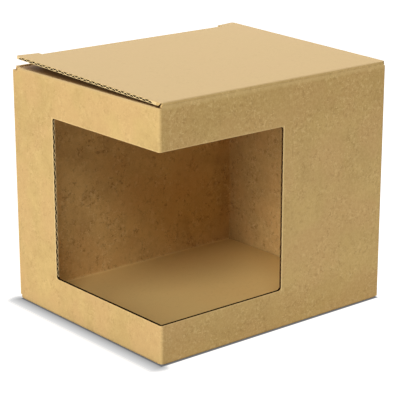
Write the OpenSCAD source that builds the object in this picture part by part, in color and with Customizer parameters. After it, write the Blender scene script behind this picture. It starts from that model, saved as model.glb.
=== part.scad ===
// Window mug box: one sheet of fluted board folded into a carton, with an L-shaped window
// cut round one upright corner and a tuck lid hinged on the top crease of the front.
// The front faces -Y, the window corner is front left, and the flutes run level round the walls.

/* [Box] */
// Width of the front over the outside of the board
box_w = 115; // [100:1:130]
// Depth from front to back over the outside of the board
box_d = 94; // [84:1:110]
// Height to the top of the closed lid
box_h = 100; // [96:1:120]

/* [Board] */
// Thickness of the board, liner to liner
board_t = 1.2; // [1:0.1:2]
// Thickness of each flat liner
liner_t = 0.18; // [0.14:0.02:0.24]
// Thickness of the waved paper at the top of a wave
wave_t = 0.16; // [0.12:0.02:0.24]
// Distance from one wave to the next
flute_pitch = 3.6; // [3.2:0.1:4.4]
// Width of the glued line where a wave meets a liner
glue_line = 0.6; // [0.4:0.1:0.8]

/* [Window] */
// Height of the sill below the window
window_sill = 16; // [10:1:24]
// Height of the window
window_h = 66; // [50:1:70]
// Reach of the window along the front, from the corner
window_front = 60; // [40:1:80]
// Reach of the window along the side, from the corner
window_side = 67; // [40:1:68]
// Radius of the die-cut corners of the window
window_r = 1.4; // [0.8:0.1:4]

/* [Creases] */
// Reach of the crushed board on each side of a fold, from the outer faces
fold_land = 2.1; // [2.1:0.1:3]
// Outer radius of the upright corners
corner_r = 1.2; // [0.8:0.1:1.6]
// Height above the ground at which the upright corners are cut off
corner_foot = 0.8; // [0.4:0.1:1.6]
// Outer radius of the creases of the dust flaps and the bottom flaps
flap_crease_r = 1.4; // [0.8:0.1:1.6]
// Outer radius of the top front crease that the lid turns on
hinge_r = 1; // [0.6:0.1:1.4]
// Width of the slit between the wall and the lid at that crease
hinge_gap = 0.3; // [0.2:0.05:0.4]
// Length of crushed board on each side of that crease
crushed_land = 2.6; // [2.2:0.1:4]

/* [Lid] */
// How far the lid stands open, as it springs up after folding, in degrees
lid_ajar = 1.6; // [0:0.1:5]
// How far each side of the lid lies inside the side wall's face
lid_inset = 0.7; // [0.4:0.1:1.5]
// Gap between the closed lid and what lies under it
lid_gap = 0.7; // [0.4:0.1:1.2]
// Gap between the tuck flap and the back wall
tuck_gap = 1.6; // [1.2:0.1:2.5]
// Outer radius of the soft crease of the tuck flap
tuck_r = 3; // [2.1:0.1:4]
// Length of the tuck flap below its crease
tuck_len = 14; // [11:1:16]
// Lean of the tuck flap towards the front, in degrees
tuck_lean = 6; // [5:0.5:10]
// Radius of the free corners of the tuck flap
tuck_corner_r = 7; // [3:1:9]
// Width of each lock ear beside the tuck flap
ear_w = 10; // [7:1:14]
// Width of the slit between an ear and the tuck flap
ear_slit = 0.6; // [0.4:0.1:1.2]
// Distance of an ear's outer corner from the back face
ear_setback = 1.6; // [0.8:0.1:2.4]
// How much shorter an ear is at its inner corner
ear_taper = 1.5; // [0:0.1:2]
// Radius of an ear's outer corner
ear_corner_r = 1.2; // [0.6:0.1:2]

/* [Dust flaps] */
// Length of a dust flap from the side face
dust_len = 42; // [25:1:46]
// Gap between a dust flap and the front wall
dust_front_gap = 1.5; // [1:0.1:4]
// Distance of a dust flap's shoulder from the back face
dust_back = 3.3; // [2.4:0.1:5]
// Width of the shoulder that the lid's ear and slit lock over
dust_shoulder = 8; // [5:1:9]
// Gap between a dust flap and the tuck flap
dust_tuck_gap = 0.8; // [0.6:0.1:2]
// Drop of the raw wall edge behind a dust flap below the flap's top
dust_drop = 1.2; // [0.4:0.1:1.8]
// Slope of the free end of a dust flap, in degrees
dust_slope = 12; // [0:1:20]
// Radius of the free corners of a dust flap
dust_corner_r = 6; // [3:1:10]

/* [Bottom] */
// Length of the glued bottom flaps from the outer face
bottom_len = 28; // [18:1:38]
// Gap between the mitred ends of the bottom flaps
bottom_gap = 0.8; // [0.4:0.1:2]
// Gap between the floor and the walls that it isn't folded from
floor_gap = 0.3; // [0.2:0.05:0.6]

/* [Seam] */
// Width of the glue tab in the back left corner
tab_w = 18; // [12:1:22]
// How far the outer board stops short of the back face at the seam
seam_setback = 0.4; // [0:0.1:1]
// Height lost at each end of the glue tab
tab_taper = 6; // [3:1:10]

/* [Hidden] */
$fn = 48;
// Room by which a cutter runs past what it cuts
over = 1;
left_x = -box_w / 2;
right_x = box_w / 2;
front_y = -box_d / 2;
back_y = box_d / 2;
// Level of the raw wall edges and the dust flaps, under the closed lid
rim_z = box_h - board_t - lid_gap;
side_wall_h = rim_z - 2 * fold_land;
// The waves: half the width of one hole, and its height
hole_half = (flute_pitch - glue_line) / 2;
hole_h = board_t - 2 * liner_t - wave_t;
HOLE_STEPS = 4;
CORNER_STEPS = 5;
hole_points = [for (k = [0:HOLE_STEPS])
    let (along = 2 * k / HOLE_STEPS - 1)
    [along * hole_half, hole_h * (1 + cos(180 * along)) / 2]];
// The hinge line lies on the outer skin, at the middle of the rounded crease
hinge_in = hinge_r * (1 - cos(45));
hinge_y = front_y + hinge_in;
hinge_z = box_h - hinge_in;
// The lid
lid_w = box_w - 2 * lid_inset;
ear_y = back_y - ear_setback;
tuck_face_y = back_y - board_t - tuck_gap;
tuck_fold_y = tuck_face_y - tuck_r;
tuck_w = lid_w - 2 * ear_w - 2 * ear_slit;
// The dust flaps
dust_front_y = front_y + board_t + dust_front_gap;
dust_back_y = back_y - dust_back;
dust_inner_y = tuck_face_y - board_t - dust_tuck_gap;
KRAFT = [0.76, 0.62, 0.42];
KRAFT_TOP = [0.80, 0.67, 0.47];

// One hole of the waved section, standing on its liner
module flute_hole() {
    polygon(hole_points);
}

// The board's section: width along x, thickness along y, holes under and over the wave
module board_section(width) {
    waves = floor((width - glue_line) / flute_pitch);
    start = (width - waves * flute_pitch) / 2;
    difference() {
        square([width, board_t]);
        for (i = [1:waves]) {
            translate([start + (i - 0.5) * flute_pitch, liner_t])
                flute_hole();
        }
        for (i = [2:waves]) {
            translate([start + (i - 1) * flute_pitch, board_t - liner_t])
                mirror([0, 1])
                    flute_hole();
        }
    }
}

// A flat panel with its flutes along x, its width along y and its thickness up
module board(length, width) {
    rotate([90, 0, 90])
        linear_extrude(length)
            board_section(width);
}

// The same panel standing on its long edge, its thickness towards -y
module wall(length, height) {
    rotate([90, 0, 0])
        board(length, height);
}

// A fold of crushed board between a +x face and a +y face, running up z
module fold(outer_r, length) {
    linear_extrude(length)
        difference() {
            square(fold_land);
            circle(fold_land - board_t);
            translate([fold_land - outer_r, fold_land - outer_r])
                corner_waste(outer_r);
        }
}

// A fold that runs along +x, from the +y side to the +z side
module fold_along_x(outer_r, length) {
    rotate([90, 0, 90])
        fold(outer_r, length);
}

// A fold that runs along -y, from the +x side to the +z side
module fold_along_y(outer_r, length) {
    rotate([90, 0, 0])
        fold(outer_r, length);
}

// The waste outside a rounded corner at the +x +y side of a radius's centre
module corner_waste(r) {
    difference() {
        square(r + over);
        circle(r);
    }
}

// The points that round one corner of an outline, between the corners before and after it
function corner_points(before, corner, after, r) =
    let (
        back = (before - corner) / norm(before - corner),
        ahead = (after - corner) / norm(after - corner),
        half = acos(back * ahead) / 2,
        centre = corner + (back + ahead) / norm(back + ahead) * r / sin(half),
        first = corner + back * r / tan(half) - centre,
        turn = sign(cross(ahead, back)) * (180 - 2 * half)
    )
    r == 0 ? [corner] : [for (k = [0:CORNER_STEPS])
        let (angle = turn * k / CORNER_STEPS)
        centre + [
            first.x * cos(angle) - first.y * sin(angle),
            first.x * sin(angle) + first.y * cos(angle)
        ]];

// An outline with each corner rounded by its own radius
function rounded(points, radii) =
    let (n = len(points))
    [for (i = [0:n - 1])
        each corner_points(points[(i + n - 1) % n], points[i], points[(i + 1) % n], radii[i])];

// Both halves of the top front crease: x runs in from the face, y up from the top
module crease_corner() {
    difference() {
        union() {
            translate([0, -crushed_land])
                square([board_t, crushed_land]);
            translate([0, -board_t])
                square([crushed_land, board_t]);
        }
        translate([hinge_r, -hinge_r])
            mirror([1, 0])
                corner_waste(hinge_r);
    }
}

// Everything on the wall's side of the mitre, or on the lid's side
module mitre_side(lid_side) {
    reach = 2 * crushed_land;
    rotate(-45)
        translate([-reach, lid_side ? hinge_gap / 2 : -hinge_gap / 2 - reach])
            square([2 * reach, reach]);
}

// One half of the crease as a strip along x
module crease_strip(length, lid_side) {
    rotate([90, 0, 90])
        linear_extrude(length)
            intersection() {
                crease_corner();
                mitre_side(lid_side);
            }
}

// The window's outline from its corner: x along the wall, y up
module window_outline(reach) {
    difference() {
        translate([-over, window_sill])
            square([reach + over, window_h]);
        translate([reach - window_r, window_sill + window_h - window_r])
            corner_waste(window_r);
        translate([reach - window_r, window_sill + window_r])
            mirror([0, 1])
                corner_waste(window_r);
    }
}

// The window cut through the front wall, the corner and the left wall
module window_cut() {
    depth = fold_land + over;
    translate([left_x, front_y + depth, 0])
        rotate([90, 0, 0])
            linear_extrude(depth + over)
                window_outline(window_front);
    translate([left_x - over, front_y, 0])
        rotate([90, 0, 90])
            linear_extrude(depth + over)
                window_outline(window_side);
}

module front_wall() {
    translate([left_x + fold_land, front_y + board_t, fold_land])
        wall(box_w - 2 * fold_land, box_h - crushed_land - fold_land);
    translate([left_x + corner_r, front_y, box_h])
        crease_strip(box_w - 2 * corner_r, false);
}

module right_wall() {
    translate([right_x - board_t, front_y + fold_land, fold_land])
        rotate([0, 0, 90])
            wall(box_d - 2 * fold_land, side_wall_h);
}

// The left wall runs past the back left corner and ends raw at the glued seam
module left_wall() {
    translate([left_x, front_y + fold_land, fold_land])
        rotate([0, 0, 90])
            wall(box_d - fold_land - seam_setback, side_wall_h);
}

// The back wall ends in a raw edge under the lid
module back_wall() {
    translate([left_x + board_t + fold_land, back_y, board_t + fold_land])
        wall(box_w - board_t - 2 * fold_land, rim_z - board_t - fold_land);
}

module upright_corners() {
    near_y = front_y + fold_land;
    far_y = back_y - fold_land;
    translate([left_x + fold_land, near_y, corner_foot])
        rotate([0, 0, 180])
            fold(corner_r, rim_z - corner_foot);
    translate([right_x - fold_land, near_y, corner_foot])
        rotate([0, 0, -90])
            fold(corner_r, rim_z - corner_foot);
    translate([right_x - fold_land, far_y, fold_land])
        fold(corner_r, rim_z - fold_land);
    translate([left_x + board_t + fold_land, far_y, board_t + fold_land])
        rotate([0, 0, 90])
            fold(corner_r, rim_z - board_t - fold_land);
}

// The tab folded from the back wall and glued inside the left wall, narrower at its free edge
module glue_tab() {
    low_z = board_t + fold_land;
    tab_h = rim_z - low_z;
    translate([left_x + 2 * board_t, back_y - fold_land, low_z])
        rotate([0, 0, -90])
            intersection() {
                wall(tab_w, tab_h);
                rotate([90, 0, 0])
                    linear_extrude(4 * board_t, center = true)
                        polygon([
                            [0, 0],
                            [tab_w, tab_taper],
                            [tab_w, tab_h - tab_taper],
                            [0, tab_h]
                        ]);
            }
}

// The plan of a dust flap: x in from the crease, y from front to back
module dust_outline() {
    length = dust_len - fold_land;
    depth = dust_back_y - dust_front_y;
    step_y = dust_inner_y - dust_front_y;
    slope = tan(dust_slope) * (length - dust_shoulder);
    r = dust_corner_r;
    polygon(rounded(
        [
            [0, 0],
            [length, slope],
            [length, step_y],
            [dust_shoulder, step_y],
            [dust_shoulder - (depth - step_y), depth],
            [0, depth]
        ],
        [0, r, r, 0, 1, 0]
    ));
}

// The right dust flap with its crease and the raw wall edges beside it, the rear one up to end_y
module dust_flap(end_y) {
    depth = dust_back_y - dust_front_y;
    crease_x = right_x - fold_land;
    translate([crease_x, dust_back_y, rim_z - fold_land])
        fold_along_y(flap_crease_r, depth);
    translate([crease_x, dust_front_y, rim_z - board_t])
        intersection() {
            rotate([0, 0, 90])
                board(depth, dust_len - fold_land);
            mirror([1, 0, 0])
                translate([0, 0, -over])
                    linear_extrude(board_t + 2 * over)
                        dust_outline();
        }
    translate([right_x - board_t, front_y + fold_land, rim_z - fold_land])
        cube([board_t, dust_front_y - front_y - fold_land, fold_land]);
    translate([right_x - board_t, dust_back_y, rim_z - fold_land])
        cube([board_t, end_y - dust_back_y, fold_land - dust_drop]);
}

// The plan of a bottom flap with mitred ends: x along the crease, which starts short of the
// wall's end, and y in from the face
module bottom_outline(length, start) {
    gap = bottom_gap / 2;
    polygon([
        [start, -over],
        [start, start - gap],
        [bottom_len + gap, bottom_len],
        [length - bottom_len - gap, bottom_len],
        [length - fold_land, fold_land - gap],
        [length - fold_land, -over]
    ]);
}

// A bottom flap under a wall along x, with its crease, in the corner of the wall
module bottom_flap(length, start = fold_land) {
    intersection() {
        union() {
            translate([0, fold_land, fold_land])
                mirror([0, 1, 0])
                    mirror([0, 0, 1])
                        fold_along_x(flap_crease_r, length);
            translate([0, fold_land, 0])
                board(length, bottom_len - fold_land);
        }
        translate([0, 0, -over])
            linear_extrude(fold_land + 2 * over)
                bottom_outline(length, start);
    }
}

module bottom_flaps() {
    translate([left_x, front_y, 0])
        bottom_flap(box_w);
    translate([right_x, front_y, 0])
        rotate([0, 0, 90])
            bottom_flap(box_d);
    translate([left_x, back_y, 0])
        rotate([0, 0, -90])
            bottom_flap(box_d, start = seam_setback + bottom_gap);
}

// The floor is folded from the back wall and lies on the glued bottom flaps
module floor_panel() {
    side = board_t + floor_gap;
    translate([left_x + board_t + fold_land, back_y - fold_land, board_t + fold_land])
        mirror([0, 0, 1])
            fold_along_x(flap_crease_r, box_w - board_t - 2 * fold_land);
    translate([left_x + side, front_y + side, board_t])
        board(box_w - 2 * side, box_d - side - fold_land);
}

module carton() {
    color(KRAFT) {
        difference() {
            union() {
                front_wall();
                left_wall();
                upright_corners();
            }
            window_cut();
        }
        right_wall();
        back_wall();
        glue_tab();
        dust_flap(back_y - fold_land);
        mirror([1, 0, 0])
            dust_flap(back_y - seam_setback);
        bottom_flaps();
        floor_panel();
    }
}

// The plan of the lid from its crease to its lock ears, x across and y to the back
module lid_outline() {
    half = lid_w / 2;
    ear_x = half - ear_w;
    polygon(rounded(
        [
            [-half, front_y + crushed_land],
            [half, front_y + crushed_land],
            [half, ear_y],
            [ear_x, ear_y - ear_taper],
            [ear_x, tuck_fold_y],
            [-ear_x, tuck_fold_y],
            [-ear_x, ear_y - ear_taper],
            [-half, ear_y]
        ],
        [0, 0, ear_corner_r, 0, 0, 0, 0, ear_corner_r]
    ));
}

module lid_panel() {
    translate([0, 0, box_h - board_t])
        intersection() {
            translate([-lid_w / 2, front_y + crushed_land, 0])
                board(lid_w, ear_y - front_y - crushed_land);
            translate([0, 0, -over])
                linear_extrude(board_t + 2 * over)
                    lid_outline();
        }
    translate([-lid_w / 2, front_y, box_h])
        crease_strip(lid_w, true);
}

// The soft crease of the tuck flap, in the plane across the box
module tuck_crease_section() {
    reach = 2 * tuck_r;
    intersection() {
        difference() {
            circle(tuck_r);
            circle(tuck_r - board_t);
        }
        union() {
            square(reach);
            rotate(-tuck_lean)
                square(reach);
        }
    }
}

// The tuck flap lying flat, its crease edge on the x axis
module tuck_flat() {
    r = tuck_corner_r;
    intersection() {
        board(tuck_w, tuck_len);
        translate([0, 0, -over])
            linear_extrude(board_t + 2 * over)
                difference() {
                    square([tuck_w, tuck_len]);
                    translate([tuck_w - r, tuck_len - r])
                        corner_waste(r);
                    translate([r, tuck_len - r])
                        mirror([1, 0])
                            corner_waste(r);
                }
    }
}

module tuck_flap() {
    translate([-tuck_w / 2, tuck_fold_y, box_h - tuck_r]) {
        rotate([90, 0, 90])
            linear_extrude(tuck_w)
                tuck_crease_section();
        rotate([-tuck_lean, 0, 0])
            translate([0, tuck_r - board_t, 0])
                rotate([-90, 0, 0])
                    tuck_flat();
    }
}

// The lid is drawn shut, then opened by its resting angle about the hinge line
module lid() {
    color(KRAFT_TOP)
        translate([0, hinge_y, hinge_z])
            rotate([lid_ajar, 0, 0])
                translate([0, -hinge_y, -hinge_z]) {
                    lid_panel();
                    tuck_flap();
                }
}

carton();
lid();
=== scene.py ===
"""Window mug box in fluted kraft board, dressed over its CAD solids."""
import math

import bmesh
import bpy
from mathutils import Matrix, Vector, noise as mathutils_noise


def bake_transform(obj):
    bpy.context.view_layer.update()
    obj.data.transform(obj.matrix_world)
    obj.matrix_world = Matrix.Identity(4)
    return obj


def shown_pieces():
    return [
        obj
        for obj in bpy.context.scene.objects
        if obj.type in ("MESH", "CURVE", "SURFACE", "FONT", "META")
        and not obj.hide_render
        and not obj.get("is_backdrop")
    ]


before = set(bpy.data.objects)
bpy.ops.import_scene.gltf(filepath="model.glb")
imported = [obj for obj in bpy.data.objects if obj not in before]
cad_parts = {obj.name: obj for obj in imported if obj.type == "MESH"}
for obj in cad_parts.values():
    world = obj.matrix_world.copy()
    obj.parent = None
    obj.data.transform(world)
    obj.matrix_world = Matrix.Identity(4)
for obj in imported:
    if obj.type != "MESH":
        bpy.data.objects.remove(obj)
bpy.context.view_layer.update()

# Sizes of the box in metres, as its solids have them
HALF_W = 0.0575
HALF_D = 0.047
BOX_H = 0.1
BOARD_T = 0.0012
LINER_T = 0.00018
LID_GAP = 0.0007
RIM_Z = BOX_H - BOARD_T - LID_GAP
WINDOW_END_X = -HALF_W + 0.060
WINDOW_END_Y = -HALF_D + 0.067
WINDOW_SILL = 0.016
WINDOW_HEAD = WINDOW_SILL + 0.066

# The top front crease: its outer radius, its middle, and the hinge line on its skin
HINGE_R = 0.001
CREASE_Y = -HALF_D + HINGE_R
CREASE_Z = BOX_H - HINGE_R
HINGE_IN = HINGE_R * (1 - math.cos(math.radians(45)))
HINGE_Y = -HALF_D + HINGE_IN
HINGE_Z = BOX_H - HINGE_IN
AJAR = math.radians(1.6)

# Ends of the masks that find the waves between the liners, and how soft those ends are
WAVE_LOW = LINER_T - 0.00002
WAVE_HIGH = BOARD_T - 0.00001
MASK_SOFT = 0.00002
PAST_WALL = BOARD_T + 0.00005

# How far the board beside each fold is crushed solid, so that it shows no waves
FOOT_LAND = 0.0016
RIM_LAND = 0.0018
FLAP_LAND = 0.0022
CREASE_LAND = 0.0027

# Width of the window's pale lip, depth of the outer skin that takes it, and a level over the floor panel
LIP_W = 0.00042
SKIN_DEPTH = 0.0003
OVER_FLOOR = 0.004

# A face counts as turned to an axis where its normal's share along it is over these
TURNED = 0.7
SQUARE_ON = 0.9

# Heights over which the painted shade on the front wall deepens to its top and clears above its foot
FRONT_TOP = (0.066, 0.092)
FRONT_FOOT = (0.004, 0.020)

# Height above which a narrow gap is one under the lid
LID_GAPS_FROM = 0.09

# Fibres, specks and mottle: how many to a metre
GRAIN_SCALE = 1350.0
SPECK_SCALE = 1250.0
CLUSTER_SCALE = 120.0
BROAD_SCALE = 26.0
CLOUD_SCALE = 140.0
PATCH_SCALE = 260.0

# How strongly grain, flecks, lip, painted gap shade and the front's painted shade show in the board's colour
GRAIN_SHOWS = 0.16
DARK_FLECKS_SHOW = 0.34
PALE_FLECKS_SHOW = 0.36
LIP_SHOWS = 0.75
GAP_SHOWS = 0.85
FRONT_PAINTED_SHADE_ALL_OVER = 0.12
FRONT_PAINTED_SHADE_AT_ENDS = 0.38

# How far the wear of a fold and the shade of a narrow gap reach, in metres
FOLD_REACH = 0.0013
GAP_REACH = 0.007

# Camera, in metres
CAMERA_PLACE = Vector((-0.38323, -0.46041, 0.22520))
CAMERA_AIM = Vector((-0.00114, -0.00174, 0.04302))
LENS = 138.30
SENSOR = 36.0

# The room's own light, and the glow of the floor on the box
ROOM_LIGHT = 0.22
FLOOR_GLOW = 0.5

# Shade on the floor: its reach beside the box, its soft edge, its inset at the foot, its taper past a corner
SHADE_REACH = 0.0078
SHADE_SOFT = 0.0009
SHADE_INSET = 0.0004
SHADE_TAPER = 1.6

# Strength of that shade under the box and beside it
SHADE_UNDER = 0.85
SHADE_BESIDE = 0.62

# Soft square lamps that light the box alone: place, side and power in watts
LAMPS = {
    "soft_left": ((-1.48, 0.02, 0.44), 0.8, 15.5),
    "soft_back": ((0.90, 1.10, 0.70), 1.1, 31.0),
    "soft_front": ((0.60, -0.70, 0.30), 0.5, 1.6),
    "soft_near": ((-0.90, -0.90, 1.10), 0.6, 11.0),
}


# Shader helpers
def put(tree, kind, inputs=None, **settings):
    """One node with its settings, its inputs given as values or as sockets to link."""
    made = tree.nodes.new(kind)
    for name, value in settings.items():
        setattr(made, name, value)
    for key, value in (inputs or {}).items():
        if isinstance(value, bpy.types.NodeSocket):
            tree.links.new(value, made.inputs[key])
        else:
            made.inputs[key].default_value = value
    return made


def maths(tree, operation, a, b=0.0, clamp=False):
    return put(tree, "ShaderNodeMath", {0: a, 1: b}, operation=operation, use_clamp=clamp).outputs[0]


def fade(tree, value, low, high):
    """0 below low, 1 above high, smooth between."""
    ramp = put(
        tree,
        "ShaderNodeMapRange",
        {"Value": value, "From Min": low, "From Max": high},
        interpolation_type="SMOOTHSTEP",
    )
    return ramp.outputs["Result"]


def tint(tree, factor, a, b):
    """Colour a at factor 0 and colour b at factor 1."""
    return put(
        tree,
        "ShaderNodeMix",
        {0: factor, 6: a, 7: b},
        data_type="RGBA",
        clamp_factor=True,
    ).outputs[2]


def noise(tree, vector, scale, detail=2.0, roughness=0.5, distortion=0.0):
    return put(
        tree,
        "ShaderNodeTexNoise",
        {
            "Vector": vector,
            "Scale": scale,
            "Detail": detail,
            "Roughness": roughness,
            "Distortion": distortion,
        },
    ).outputs["Fac"]


def new_group(name, inputs, outputs):
    """An empty shader group with its named sockets, and its input and output nodes."""
    group = bpy.data.node_groups.new(name, "ShaderNodeTree")
    for label, kind, default in inputs:
        socket = group.interface.new_socket(label, in_out="INPUT", socket_type=kind)
        socket.default_value = default
    for label, kind in outputs:
        group.interface.new_socket(label, in_out="OUTPUT", socket_type=kind)
    return group, group.nodes.new("NodeGroupInput"), group.nodes.new("NodeGroupOutput")


def use_group(tree, group, **values):
    made = tree.nodes.new("ShaderNodeGroup")
    made.node_tree = group
    for label, value in values.items():
        socket = made.inputs[label.replace("_", " ")]
        if isinstance(value, bpy.types.NodeSocket):
            tree.links.new(value, socket)
        else:
            socket.default_value = value
    return made


# Effects shared by the papers
def axes_of(tree, vector):
    return put(tree, "ShaderNodeSeparateXYZ", {0: vector}).outputs


def band(tree, value, low, high, soft):
    """1 between low and high, with soft ends."""
    rising = fade(tree, value, low, low + soft)
    falling = fade(tree, value, high - soft, high)
    return maths(tree, "MULTIPLY", rising, maths(tree, "SUBTRACT", 1.0, falling))


def wave_band(tree, depth):
    """1 where the depth below the board's outer face is that of the waves."""
    return band(tree, depth, WAVE_LOW, WAVE_HIGH, MASK_SOFT)


def level_place(tree, tilt):
    """The object's own coordinates with the lid's rest angle taken out."""
    place = tree.nodes.new("ShaderNodeTexCoord")
    return put(
        tree,
        "ShaderNodeVectorRotate",
        {"Vector": place.outputs["Object"], "Center": (0.0, HINGE_Y, HINGE_Z), "Angle": tilt},
        rotation_type="X_AXIS",
    ).outputs[0]


def specks(tree, vector, scale, share, size):
    """Small dots at random; share of the places hold one, and size is its radius to their spacing."""
    at = {"Vector": vector, "Scale": scale}
    cells = put(tree, "ShaderNodeTexVoronoi", at, voronoi_dimensions="3D")
    chance = put(tree, "ShaderNodeSeparateColor", {0: cells.outputs["Color"]}).outputs
    held = maths(tree, "GREATER_THAN", chance[0], 1.0 - share)
    depth = maths(tree, "ADD", 0.45, maths(tree, "MULTIPLY", chance[1], 0.55))
    dot = maths(tree, "SUBTRACT", 1.0, fade(tree, cells.outputs["Distance"], 0.55 * size, size))
    return maths(tree, "MULTIPLY", maths(tree, "MULTIPLY", dot, held), depth)


def stretched(tree, parts, x, y, z, shift):
    """The place, drawn out along an axis wherever its factor is under 1, and moved aside by shift."""
    moved = [
        maths(tree, "ADD", maths(tree, "MULTIPLY", parts["XYZ"[i]], factor), shift * (0.7 + i))
        for i, factor in enumerate((x, y, z))
    ]
    return put(tree, "ShaderNodeCombineXYZ", {0: moved[0], 1: moved[1], 2: moved[2]}).outputs[0]


def strewn(tree, parts, scale, shift):
    """Dots, short fibres and irregular flecks of one shade."""
    dots = specks(tree, stretched(tree, parts, 1.0, 1.0, 1.0, shift), scale, 0.30, 0.38)
    upright = specks(tree, stretched(tree, parts, 1.0, 1.0, 0.30, shift + 0.2), scale, 0.12, 0.30)
    level = specks(tree, stretched(tree, parts, 0.30, 0.30, 1.0, shift + 0.4), scale, 0.12, 0.30)
    uneven = stretched(tree, parts, 1.0, 1.0, 0.9, shift + 0.6)
    flecks = noise(tree, uneven, maths(tree, "MULTIPLY", scale, 0.48), 3.0, 0.70, 0.25)
    marks = maths(tree, "MAXIMUM", dots, maths(tree, "MAXIMUM", upright, level))
    return maths(tree, "MAXIMUM", marks, maths(tree, "MULTIPLY", fade(tree, flecks, 0.54, 0.64), 0.75))


def build_paper_fibres():
    """Fine grain, and dark and pale specks in loose clusters; level and side panels take them faintly."""
    group, inside, out = new_group(
        "paper_fibres",
        [("Grain Scale", "NodeSocketFloat", GRAIN_SCALE), ("Speck Scale", "NodeSocketFloat", SPECK_SCALE),
         ("Cluster Scale", "NodeSocketFloat", CLUSTER_SCALE)],
        [("Grain", "NodeSocketFloat"), ("Dark Flecks", "NodeSocketFloat"),
         ("Pale Flecks", "NodeSocketFloat"), ("Level", "NodeSocketFloat"),
         ("Clearness", "NodeSocketFloat")],
    )
    place = group.nodes.new("ShaderNodeTexCoord")
    spot = place.outputs["Object"]
    parts = axes_of(group, spot)
    facing = axes_of(group, place.outputs["Normal"])
    level = maths(group, "GREATER_THAN", maths(group, "ABSOLUTE", facing["Z"]), TURNED)
    grain = noise(group, spot, inside.outputs["Grain Scale"], detail=3.0, roughness=0.65)
    clusters = noise(group, spot, inside.outputs["Cluster Scale"], detail=2.0, roughness=0.6)
    grouped = maths(group, "ADD", 0.3, maths(group, "MULTIPLY", fade(group, clusters, 0.38, 0.60), 0.7))
    dark = strewn(group, parts, inside.outputs["Speck Scale"], 0.0)
    pale = strewn(group, parts, inside.outputs["Speck Scale"], 1.3)
    sideways = maths(group, "GREATER_THAN", maths(group, "ABSOLUTE", facing["X"]), TURNED)
    faint_level = maths(group, "MULTIPLY", level, 0.78)
    faint = maths(group, "ADD", faint_level, maths(group, "MULTIPLY", sideways, 0.3))
    group.links.new(grain, out.inputs["Grain"])
    group.links.new(maths(group, "MULTIPLY", dark, grouped), out.inputs["Dark Flecks"])
    group.links.new(maths(group, "MULTIPLY", pale, grouped), out.inputs["Pale Flecks"])
    group.links.new(level, out.inputs["Level"])
    group.links.new(maths(group, "SUBTRACT", 1.0, faint), out.inputs["Clearness"])
    return group


def build_soft_mottle():
    """Slow changes of shade and of hue over the sheet."""
    group, inside, out = new_group(
        "soft_mottle",
        [("Broad Scale", "NodeSocketFloat", BROAD_SCALE), ("Cloud Scale", "NodeSocketFloat", CLOUD_SCALE)],
        [("Shade", "NodeSocketFloat"), ("Warmth", "NodeSocketFloat")],
    )
    place = group.nodes.new("ShaderNodeTexCoord")
    spot = place.outputs["Object"]
    broad = noise(group, spot, inside.outputs["Broad Scale"], 3.0, 0.55)
    cloud = noise(group, spot, inside.outputs["Cloud Scale"], 4.0, 0.6)
    both = maths(group, "ADD", maths(group, "MULTIPLY", broad, 0.5), maths(group, "MULTIPLY", cloud, 0.5))
    away = put(group, "ShaderNodeVectorMath", {0: spot, 1: (1.3, 2.9, 0.7)}, operation="ADD").outputs[0]
    warmth = noise(group, away, maths(group, "MULTIPLY", inside.outputs["Broad Scale"], 2.2), 2.0, 0.5)
    group.links.new(both, out.inputs["Shade"])
    group.links.new(warmth, out.inputs["Warmth"])
    return group


def build_fold_wear():
    """1 along the outer folds of the box, where the crushed board is paler."""
    group, inside, out = new_group(
        "fold_wear",
        [("Tilt", "NodeSocketFloat", 0.0), ("Reach", "NodeSocketFloat", FOLD_REACH),
         ("Break Up", "NodeSocketFloat", 0.5)],
        [("Wear", "NodeSocketFloat")],
    )
    spot = level_place(group, inside.outputs["Tilt"])
    parts = axes_of(group, spot)
    side = maths(group, "SUBTRACT", maths(group, "ABSOLUTE", parts["X"]), HALF_W)
    face = maths(group, "SUBTRACT", maths(group, "ABSOLUTE", parts["Y"]), HALF_D)
    top = maths(group, "SUBTRACT", parts["Z"], RIM_Z)
    foot = maths(group, "MULTIPLY", parts["Z"], -1.0)
    end = maths(group, "MAXIMUM", top, foot)
    pairs = [
        maths(group, "MINIMUM", side, face),
        maths(group, "MINIMUM", side, end),
        maths(group, "MINIMUM", face, end),
    ]
    nearest = maths(group, "MAXIMUM", maths(group, "MAXIMUM", pairs[0], pairs[1]), pairs[2])
    reach = inside.outputs["Reach"]
    edge = maths(group, "DIVIDE", maths(group, "ADD", nearest, reach), reach, clamp=True)
    patches = noise(group, spot, PATCH_SCALE, 4.0, 0.65)
    kept = maths(group, "SUBTRACT", 1.0, maths(group, "MULTIPLY", inside.outputs["Break Up"], patches))
    group.links.new(maths(group, "MULTIPLY", edge, kept), out.inputs["Wear"])
    return group


def build_front_painted_shade():
    """Painted shade: the front wall is darker than its neighbours, most of all along its top and its foot.
    """
    group, inside, out = new_group(
        "front_painted_shade",
        [("All Over", "NodeSocketFloat", FRONT_PAINTED_SHADE_ALL_OVER),
         ("At Ends", "NodeSocketFloat", FRONT_PAINTED_SHADE_AT_ENDS)],
        [("Painted Shade", "NodeSocketFloat")],
    )
    place = group.nodes.new("ShaderNodeTexCoord")
    height = axes_of(group, place.outputs["Object"])["Z"]
    forward = maths(group, "MULTIPLY", axes_of(group, place.outputs["Normal"])["Y"], -1.0)
    top = fade(group, height, *FRONT_TOP)
    foot = maths(group, "SUBTRACT", 1.0, fade(group, height, *FRONT_FOOT))
    ends = maths(group, "MULTIPLY", maths(group, "MAXIMUM", top, foot), inside.outputs["At Ends"])
    strength = maths(group, "ADD", ends, inside.outputs["All Over"])
    group.links.new(maths(group, "MULTIPLY", fade(group, forward, 0.2, 0.9), strength), out.inputs["Painted Shade"])
    return group


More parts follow.
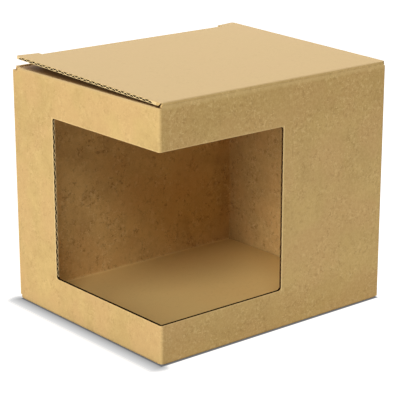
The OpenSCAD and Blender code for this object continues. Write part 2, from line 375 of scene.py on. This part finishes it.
def build_crevice_shade():
    """1 deep in a narrow gap and 0 on open surfaces; it starts sooner between the lid and the flaps."""
    group, inside, out = new_group(
        "crevice_shade",
        [("Reach", "NodeSocketFloat", GAP_REACH), ("Inner Liner", "NodeSocketFloat", 0.0)],
        [("Shade", "NodeSocketFloat")],
    )
    closed = group.nodes.new("ShaderNodeAmbientOcclusion")
    closed.samples = 8
    group.links.new(inside.outputs["Reach"], closed.inputs["Distance"])
    hidden = maths(group, "SUBTRACT", 1.0, closed.outputs["AO"])
    parts = axes_of(group, group.nodes.new("ShaderNodeTexCoord").outputs["Object"])
    high_up = maths(group, "GREATER_THAN", parts["Z"], LID_GAPS_FROM)
    outer = maths(group, "SUBTRACT", 1.0, inside.outputs["Inner Liner"])
    under_lid = maths(group, "MULTIPLY", high_up, outer)
    between = maths(group, "MULTIPLY", under_lid, fade(group, hidden, 0.20, 0.56))
    deep = fade(group, hidden, 0.60, 1.0)
    group.links.new(maths(group, "MAXIMUM", between, deep), out.inputs["Shade"])
    return group


def build_board_places():
    """Where the surface is the inner liner, a cut edge, an open wave, the window's lip or the floor."""
    group, inside, out = new_group(
        "board_places",
        [("Tilt", "NodeSocketFloat", 0.0), ("Lid", "NodeSocketFloat", 0.0)],
        [("Inner Liner", "NodeSocketFloat"), ("Cut Edge", "NodeSocketFloat"),
         ("Open Wave", "NodeSocketFloat"), ("Window Lip", "NodeSocketFloat"),
         ("Floor Panel", "NodeSocketFloat"), ("Lit End", "NodeSocketFloat")],
    )
    spot = level_place(group, inside.outputs["Tilt"])
    parts = axes_of(group, spot)
    place = group.nodes.new("ShaderNodeTexCoord")
    normal = place.outputs["Normal"]
    facing = axes_of(group, normal)

    # The inner liner looks back towards the middle of the box
    from_middle = put(
        group, "ShaderNodeVectorMath", {0: spot, 1: (0.0, 0.0, 0.5 * BOX_H)}, operation="SUBTRACT"
    ).outputs[0]
    outward = put(group, "ShaderNodeVectorMath", {0: normal, 1: from_middle}, operation="DOT_PRODUCT")
    inner = fade(group, outward.outputs["Value"], -0.02, -0.03)

    # Waves between the liners of the walls
    in_x = maths(group, "SUBTRACT", HALF_W, maths(group, "ABSOLUTE", parts["X"]))
    in_y = maths(group, "SUBTRACT", HALF_D, maths(group, "ABSOLUTE", parts["Y"]))
    wall_level = band(group, parts["Z"], FOOT_LAND, RIM_Z - RIM_LAND, 0.0002)
    up_or_down = maths(group, "GREATER_THAN", maths(group, "ABSOLUTE", facing["Z"]), SQUARE_ON)
    past_x = maths(group, "GREATER_THAN", maths(group, "ADD", in_x, up_or_down), PAST_WALL)
    past_y = maths(group, "GREATER_THAN", maths(group, "ADD", in_y, up_or_down), PAST_WALL)
    side_wall = maths(group, "MULTIPLY", wave_band(group, in_x), past_y)
    long_wall = maths(group, "MULTIPLY", wave_band(group, in_y), past_x)
    along_y = maths(group, "MULTIPLY", side_wall, wall_level)
    along_x = maths(group, "MULTIPLY", long_wall, wall_level)

    # Waves of the dust flaps
    flap = wave_band(group, maths(group, "SUBTRACT", RIM_Z, parts["Z"]))
    flap = maths(group, "MULTIPLY", flap, maths(group, "GREATER_THAN", in_x, FLAP_LAND))
    along_y = maths(group, "MAXIMUM", along_y, maths(group, "MULTIPLY", flap, past_y))
    not_lid = maths(group, "SUBTRACT", 1.0, inside.outputs["Lid"])
    along_x = maths(group, "MULTIPLY", along_x, not_lid)
    along_y = maths(group, "MULTIPLY", along_y, not_lid)

    # Waves of the lid
    panel = wave_band(group, maths(group, "SUBTRACT", BOX_H, parts["Z"]))
    panel = maths(group, "MULTIPLY", panel, maths(group, "GREATER_THAN", in_y, 0.0))
    clear = maths(group, "GREATER_THAN", maths(group, "ADD", parts["Y"], HALF_D), CREASE_LAND)
    panel = maths(group, "MULTIPLY", maths(group, "MULTIPLY", panel, clear), inside.outputs["Lid"])
    along_x = maths(group, "MAXIMUM", along_x, panel)

    # The cut ends of the waved paper, and the hollows that run in behind them
    cut = maths(group, "MAXIMUM", along_x, along_y)
    end_x = maths(group, "GREATER_THAN", maths(group, "ABSOLUTE", facing["X"]), SQUARE_ON)
    end_y = maths(group, "GREATER_THAN", maths(group, "ABSOLUTE", facing["Y"]), SQUARE_ON)
    wave_x = maths(group, "MULTIPLY", along_x, maths(group, "SUBTRACT", 1.0, end_x))
    wave_y = maths(group, "MULTIPLY", along_y, maths(group, "SUBTRACT", 1.0, end_y))
    wave = maths(group, "MAXIMUM", wave_x, wave_y)

    # The lip of the window is full at its uprights and faint at its head and sill
    over_x = maths(group, "SUBTRACT", parts["X"], WINDOW_END_X)
    over_y = maths(group, "SUBTRACT", parts["Y"], WINDOW_END_Y)
    over_side = maths(group, "MAXIMUM", over_x, over_y)
    below = maths(group, "SUBTRACT", WINDOW_SILL, parts["Z"])
    above = maths(group, "SUBTRACT", parts["Z"], WINDOW_HEAD)
    over_level = maths(group, "MAXIMUM", below, above)
    past_window = maths(group, "MAXIMUM", over_side, over_level)
    lip = band(group, past_window, -0.00001, LIP_W, MASK_SOFT)
    upright_lip = maths(group, "MULTIPLY", maths(group, "GREATER_THAN", over_side, over_level), 0.7)
    lip = maths(group, "MULTIPLY", lip, maths(group, "ADD", 0.3, upright_lip))
    skin = maths(group, "LESS_THAN", maths(group, "MINIMUM", in_x, in_y), SKIN_DEPTH)
    lip = maths(group, "MULTIPLY", maths(group, "MULTIPLY", lip, skin), not_lid)

    low_down = maths(group, "LESS_THAN", parts["Z"], OVER_FLOOR)
    upward = maths(group, "GREATER_THAN", facing["Z"], TURNED)
    group.links.new(maths(group, "MULTIPLY", low_down, upward), out.inputs["Floor Panel"])
    group.links.new(inner, out.inputs["Inner Liner"])
    group.links.new(cut, out.inputs["Cut Edge"])
    group.links.new(wave, out.inputs["Open Wave"])
    group.links.new(maths(group, "MULTIPLY", along_y, end_y), out.inputs["Lit End"])
    group.links.new(lip, out.inputs["Window Lip"])
    return group


PAPER_FIBRES = build_paper_fibres()
SOFT_MOTTLE = build_soft_mottle()
FOLD_WEAR = build_fold_wear()
BOARD_PLACES = build_board_places()
CREVICE_SHADE = build_crevice_shade()
FRONT_PAINTED_SHADE = build_front_painted_shade()

# Linear colours of the papers, and of the painted shade, sheen and light laid on them
OUTER = (0.578, 0.398, 0.158)
OUTER_DARK = (0.490, 0.327, 0.128)
OUTER_WARM = (0.562, 0.356, 0.153)
OUTER_PAINTED_SHADE = (0.400, 0.250, 0.080)
OUTER_TOP_PAINTED_SHEEN = (0.645, 0.462, 0.232)
INNER = (0.668, 0.446, 0.172)
INNER_DARK = (0.525, 0.334, 0.124)
INNER_WARM = (0.628, 0.384, 0.144)
FLOOR_PANEL_PAINTED_LIGHT = (0.765, 0.555, 0.222)
GAP_PAINTED_SHADE = (0.150, 0.068, 0.018)
PALE = (0.790, 0.595, 0.280)
SPECK = (0.210, 0.098, 0.028)
WAVE_DARKER_WITH_PAINTED_SHADE = (0.160, 0.085, 0.030)
WAVE_PAINTED_LIGHT = (0.700, 0.520, 0.260)
HOLLOW_PAINTED_SHADE = (0.012, 0.005, 0.002)


def board_material(name, tilt=0.0, lid=0.0, worn=0.32):
    """Kraft board with its liners, open edges, specks and paler folds; tilt is the lid's rest angle."""
    material = bpy.data.materials.new(name)
    material.use_nodes = True
    tree = material.node_tree
    shader = tree.nodes["Principled BSDF"]
    fibres = use_group(
        tree, PAPER_FIBRES, Grain_Scale=GRAIN_SCALE, Speck_Scale=SPECK_SCALE, Cluster_Scale=CLUSTER_SCALE
    ).outputs
    mottle = use_group(tree, SOFT_MOTTLE, Broad_Scale=BROAD_SCALE, Cloud_Scale=CLOUD_SCALE).outputs
    wear = use_group(tree, FOLD_WEAR, Tilt=tilt, Reach=FOLD_REACH).outputs
    places = use_group(tree, BOARD_PLACES, Tilt=tilt, Lid=lid).outputs

    # The liners' colours, calmer on level faces, with painted shade on the front wall and a painted sheen on
    # level outer faces
    slow = fade(tree, mottle["Shade"], 0.36, 0.64)
    calm = maths(tree, "MULTIPLY", fibres["Level"], 0.7)
    slow = maths(tree, "MULTIPLY", slow, maths(tree, "SUBTRACT", 1.0, calm))
    slow = maths(tree, "ADD", slow, maths(tree, "MULTIPLY", calm, 0.6))
    warm = maths(tree, "MULTIPLY", fade(tree, mottle["Warmth"], 0.40, 0.62), 0.7)
    outer = tint(tree, slow, (*OUTER_DARK, 1), (*OUTER, 1))
    outer = tint(tree, warm, outer, (*OUTER_WARM, 1))
    # Painted shade on the front wall, deepest along its top and its foot
    front_shade = use_group(
        tree, FRONT_PAINTED_SHADE, All_Over=FRONT_PAINTED_SHADE_ALL_OVER, At_Ends=FRONT_PAINTED_SHADE_AT_ENDS
    ).outputs["Painted Shade"]
    outer = tint(tree, front_shade, outer, (*OUTER_PAINTED_SHADE, 1))
    # Painted sheen: level outer faces are made paler and less saturated
    outer = tint(tree, maths(tree, "MULTIPLY", fibres["Level"], 0.85), outer, (*OUTER_TOP_PAINTED_SHEEN, 1))
    inner = tint(tree, slow, (*INNER_DARK, 1), (*INNER, 1))
    inner = tint(tree, warm, inner, (*INNER_WARM, 1))
    colour = tint(tree, places["Inner Liner"], outer, inner)
    # Painted light: the floor panel inside the box is made paler
    colour = tint(tree, maths(tree, "MULTIPLY", places["Floor Panel"], 0.7), colour, (*FLOOR_PANEL_PAINTED_LIGHT, 1))

    # Grain and flecks, richest on the inner walls
    inner_walls = maths(tree, "SUBTRACT", places["Inner Liner"], places["Floor Panel"], clamp=True)
    rich = maths(tree, "ADD", fibres["Clearness"], maths(tree, "MULTIPLY", inner_walls, 0.9))
    grain = maths(tree, "MULTIPLY", fade(tree, fibres["Grain"], 0.34, 0.70), fibres["Clearness"])
    colour = tint(tree, maths(tree, "MULTIPLY", grain, GRAIN_SHOWS), colour, (*PALE, 1))
    dark = maths(tree, "MULTIPLY", maths(tree, "MULTIPLY", fibres["Dark Flecks"], DARK_FLECKS_SHOW), rich)
    colour = tint(tree, dark, colour, (*SPECK, 1))
    pale = maths(tree, "MULTIPLY", maths(tree, "MULTIPLY", fibres["Pale Flecks"], PALE_FLECKS_SHOW), rich)
    colour = tint(tree, pale, colour, (*PALE, 1))

    # Pale folds and lips, painted shade in narrow gaps, and the waves at the cut edges
    fold = maths(tree, "MULTIPLY", wear["Wear"], worn)
    lip = maths(tree, "MULTIPLY", places["Window Lip"], LIP_SHOWS)
    colour = tint(tree, maths(tree, "MAXIMUM", fold, lip), colour, (*PALE, 1))
    # Painted shade in narrow gaps, deepest between the lid and the dust flaps
    narrow = use_group(tree, CREVICE_SHADE, Reach=GAP_REACH, Inner_Liner=places["Inner Liner"]).outputs
    colour = tint(tree, maths(tree, "MULTIPLY", narrow["Shade"], GAP_SHOWS), colour, (*GAP_PAINTED_SHADE, 1))
    # Cut waves: a painted lit copy on the lid and at ends facing along the side walls, elsewhere darker
    # paper with painted shade
    paper = tint(tree, maths(tree, "MAXIMUM", places["Lit End"], lid), (*WAVE_DARKER_WITH_PAINTED_SHADE, 1), (*WAVE_PAINTED_LIGHT, 1))
    colour = tint(tree, places["Cut Edge"], colour, paper)
    # Painted shade: the open flutes and the cuts along them are made near black
    colour = tint(tree, places["Open Wave"], colour, (*HOLLOW_PAINTED_SHADE, 1))

    tree.links.new(colour, shader.inputs["Base Color"])
    rough = maths(tree, "ADD", 0.70, maths(tree, "MULTIPLY", fibres["Grain"], 0.2))
    tree.links.new(rough, shader.inputs["Roughness"])
    shader.inputs["IOR"].default_value = 1.45
    shader.inputs["Specular IOR Level"].default_value = 0.03
    bump = put(
        tree,
        "ShaderNodeBump",
        {"Strength": 0.25, "Distance": 0.0001, "Height": fibres["Grain"]},
    )
    tree.links.new(bump.outputs["Normal"], shader.inputs["Normal"])
    return material


for name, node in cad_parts.items():
    is_lid = name == "lid"
    kraft = board_material("kraft_" + name, tilt=-AJAR if is_lid else 0.0, lid=float(is_lid))
    node.data.materials.clear()
    node.data.materials.append(kraft)


# Skin over the lid's crease
def add_crease_skin():
    """The outer liner over the slit, from the wall round to the lid, wavering where it was crushed."""
    steps_x = 140
    steps_round = 8
    half = 0.0562

    # The skin against the crease's radius: lifted all over, bellied midway, rippled, its underside sunk
    lift = 0.00001
    belly = 0.00004
    ripple = 0.00007
    sunk = 0.00006

    start, end = math.radians(188), math.radians(82)
    shape = bmesh.new()
    rows = []
    for i in range(steps_x + 1):
        x = -half + 2 * half * i / steps_x
        swell = mathutils_noise.noise(Vector((x * 90, 0.3, 0.0)))
        swell += 0.5 * mathutils_noise.noise(Vector((x * 330, 4.1, 0.0)))
        ring = []
        for k in range(steps_round + 1):
            angle = start + (end - start) * k / steps_round
            rise = math.sin(math.pi * k / steps_round)
            radius = HINGE_R + lift + rise * (belly + ripple * max(swell, -0.4))
            ring.append((x, CREASE_Y + radius * math.cos(angle), CREASE_Z + radius * math.sin(angle)))
        for k in range(steps_round, -1, -1):
            angle = start + (end - start) * k / steps_round
            radius = HINGE_R - sunk
            ring.append((x, CREASE_Y + radius * math.cos(angle), CREASE_Z + radius * math.sin(angle)))
        rows.append([shape.verts.new(point) for point in ring])
    count = len(rows[0])
    for near, far in zip(rows, rows[1:]):
        for k in range(count):
            shape.faces.new((near[k], far[k], far[(k + 1) % count], near[(k + 1) % count]))
    shape.faces.new(rows[0])
    shape.faces.new(list(reversed(rows[-1])))
    bmesh.ops.recalc_face_normals(shape, faces=shape.faces)
    mesh = bpy.data.meshes.new("crease_skin")
    shape.to_mesh(mesh)
    shape.free()
    mesh.shade_smooth()
    skin = bpy.data.objects.new("crease_skin", mesh)
    bpy.context.scene.collection.objects.link(skin)
    mesh.materials.append(board_material("kraft_crease", worn=0.15))
    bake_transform(skin)


add_crease_skin()


# Room, light and camera
def make_floor():
    """A white paper sweep; it is shaded under the box and a little beside its left wall."""
    mesh = bpy.data.meshes.new("studio_floor")
    shape = bmesh.new()
    bmesh.ops.create_grid(shape, x_segments=2, y_segments=2, size=4.0)
    shape.to_mesh(mesh)
    shape.free()
    floor = bpy.data.objects.new("studio_floor", mesh)
    floor.location.z = -0.0001
    bpy.context.scene.collection.objects.link(floor)
    material = bpy.data.materials.new("studio_paper")
    material.use_nodes = True
    tree = material.node_tree
    shader = tree.nodes["Principled BSDF"]
    parts = axes_of(tree, tree.nodes.new("ShaderNodeTexCoord").outputs["Object"])
    past_left = maths(tree, "SUBTRACT", -HALF_W, parts["X"])
    past_x = maths(tree, "SUBTRACT", maths(tree, "ABSOLUTE", parts["X"]), HALF_W - SHADE_INSET)
    past_y = maths(tree, "SUBTRACT", maths(tree, "ABSOLUTE", parts["Y"]), HALF_D - SHADE_INSET)
    past_foot = maths(tree, "MAXIMUM", past_x, past_y)
    under = maths(tree, "SUBTRACT", 1.0, fade(tree, past_foot, 0.0, SHADE_SOFT))
    along = maths(tree, "MULTIPLY", maths(tree, "MAXIMUM", past_y, 0.0), SHADE_TAPER)
    across = maths(tree, "MAXIMUM", past_left, 0.0)
    squares = maths(tree, "ADD", maths(tree, "POWER", across, 2.0), maths(tree, "POWER", along, 2.0))
    away = maths(tree, "DIVIDE", maths(tree, "SQRT", squares), SHADE_REACH, clamp=True)
    beside = maths(tree, "MULTIPLY", maths(tree, "SUBTRACT", 1.0, away), SHADE_BESIDE)
    beside = maths(tree, "MULTIPLY", beside, fade(tree, past_left, -0.004, 0.0))
    shade = maths(tree, "MAXIMUM", maths(tree, "MULTIPLY", under, SHADE_UNDER), beside)
    white = (0.93, 0.93, 0.93, 1)
    bare = maths(tree, "MULTIPLY", shade, 4.0, clamp=True)
    tree.links.new(tint(tree, bare, white, (0.01, 0.01, 0.01, 1)), shader.inputs["Base Color"])
    glow = tint(tree, shade, (1, 1, 1, 1), (0.005, 0.007, 0.012, 1))
    tree.links.new(glow, shader.inputs["Emission Color"])
    seen = tree.nodes.new("ShaderNodeLightPath").outputs["Is Camera Ray"]
    strength = maths(tree, "ADD", FLOOR_GLOW, maths(tree, "MULTIPLY", seen, 1.0 - FLOOR_GLOW))
    tree.links.new(strength, shader.inputs["Emission Strength"])
    shader.inputs["Roughness"].default_value = 0.9
    shader.inputs["Specular IOR Level"].default_value = 0.1
    mesh.materials.append(material)
    floor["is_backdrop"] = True


def make_light(name, place, side, power):
    data = bpy.data.lights.new(name, "AREA")
    data.shape = "SQUARE"
    data.size = side
    data.energy = power
    lamp = bpy.data.objects.new(name, data)
    bpy.context.scene.collection.objects.link(lamp)
    lamp.location = place
    lamp.rotation_euler = (Vector((0, 0, 0.05)) - Vector(place)).to_track_quat("-Z", "Y").to_euler()
    return lamp


def light_room():
    """A bright white room with soft lamps on the left, behind, in front and near the camera."""
    world = bpy.data.worlds.new("studio")
    bpy.context.scene.world = world
    world.use_nodes = True
    tree = world.node_tree
    sky = tree.nodes["Background"]
    sky.inputs["Color"].default_value = (1.0, 1.0, 1.0, 1)
    seen = tree.nodes.new("ShaderNodeLightPath").outputs["Is Camera Ray"]
    strength = maths(tree, "ADD", ROOM_LIGHT, maths(tree, "MULTIPLY", seen, 1.1 - ROOM_LIGHT))
    tree.links.new(strength, sky.inputs["Strength"])
    lit = bpy.data.collections.new("lit_by_lamps")
    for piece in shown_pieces():
        lit.objects.link(piece)
    for name, (place, side, power) in LAMPS.items():
        make_light(name, place, side, power).light_linking.receiver_collection = lit


def place_camera():
    data = bpy.data.cameras.new("photo_view")
    data.lens = LENS
    data.sensor_width = SENSOR
    camera = bpy.data.objects.new("photo_view", data)
    bpy.context.scene.collection.objects.link(camera)
    camera.location = CAMERA_PLACE
    camera.rotation_euler = (CAMERA_AIM - CAMERA_PLACE).to_track_quat("-Z", "Y").to_euler()
    bpy.context.scene.camera = camera


make_floor()
light_room()
place_camera()
bpy.context.scene.view_settings.view_transform = "Standard"
